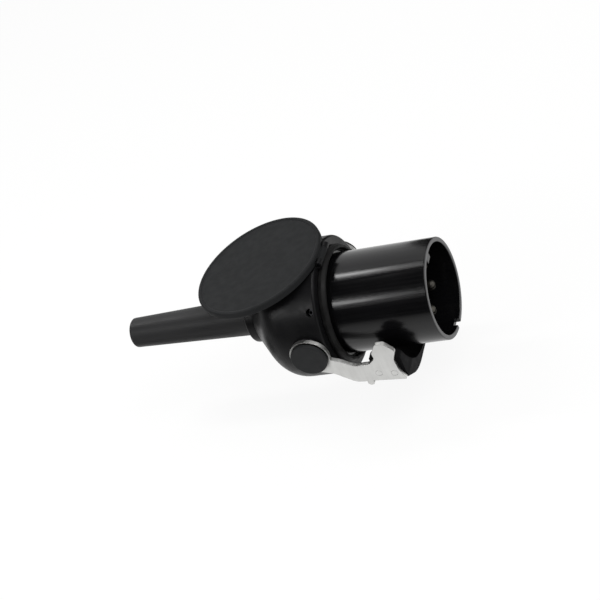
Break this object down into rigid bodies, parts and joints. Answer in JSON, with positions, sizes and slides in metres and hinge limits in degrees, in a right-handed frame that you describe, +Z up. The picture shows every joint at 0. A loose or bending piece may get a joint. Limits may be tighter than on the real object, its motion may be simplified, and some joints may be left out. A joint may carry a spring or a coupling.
{
  "type": "seven-pin trailer plug",
  "caption": "Round trailer plug with a tubular barrel over pin contacts, a tapered housing, a side-plate latch, a hinged round cover and a cable boot.",
  "frame": {"origin": "centre of the flange plane on the plug axis, where the barrel leaves the housing", "axes": "+X along the plug axis towards the open mouth, +Z up towards the cover, -Y the near side"},
  "size_m": [0.1585, 0.072, 0.0644],
  "materials": {
    "housing": "satin moulded black",
    "barrel": "gloss moulded black",
    "rubber_parts": "matte black rubber",
    "seal": "brown sealing rubber",
    "dark_screws": "black oxide",
    "insulator": "moulded, dark grey",
    "contacts": "turned, nickel plated",
    "plated_steel": "zinc plated",
    "boot": "matte rubber",
    "cover": "matte dark grey",
    "latch_steel": "zinc plated, satin"
  },
  "bodies": {
    "plug": {"housing": "housing", "barrel": "barrel", "flange_gasket": "rubber_parts", "barrel_o_ring": "seal", "housing_screws": "dark_screws", "contact_block": "insulator", "contact_1": "contacts", "contact_2": "contacts", "contact_3": "contacts", "contact_4": "contacts", "contact_5": "contacts", "contact_6": "contacts", "contact_7": "contacts", "terminal_screws": "plated_steel", "contact_retainer": "insulator", "retainer_screws": "plated_steel", "gland_nut": "housing", "gland_washer": "plated_steel", "cable_grommet": "rubber_parts", "cable_boot": "boot", "hinge_pin": "dark_screws", "pivot_cap_near": "cover", "pivot_cap_far": "cover"},
    "latch": {"latch_plate_near": "latch_steel", "latch_plate_far": "latch_steel", "latch_handle": "housing", "latch_rivets": "plated_steel"},
    "cover": {"cover": "cover"}
  },
  "joints": [
    {"name": "latch_pivot", "type": "hinge", "parent": "plug", "child": "latch", "pos_m": [-0.0095, 0, 0], "axis": [0, 1, 0], "range_deg": [0, 45]},
    {"name": "cover_hinge", "type": "hinge", "parent": "plug", "child": "cover", "pos_m": [0.0004, 0, 0.0292], "axis": [0, 1, 0], "range_deg": [0, 140]}
  ]
}
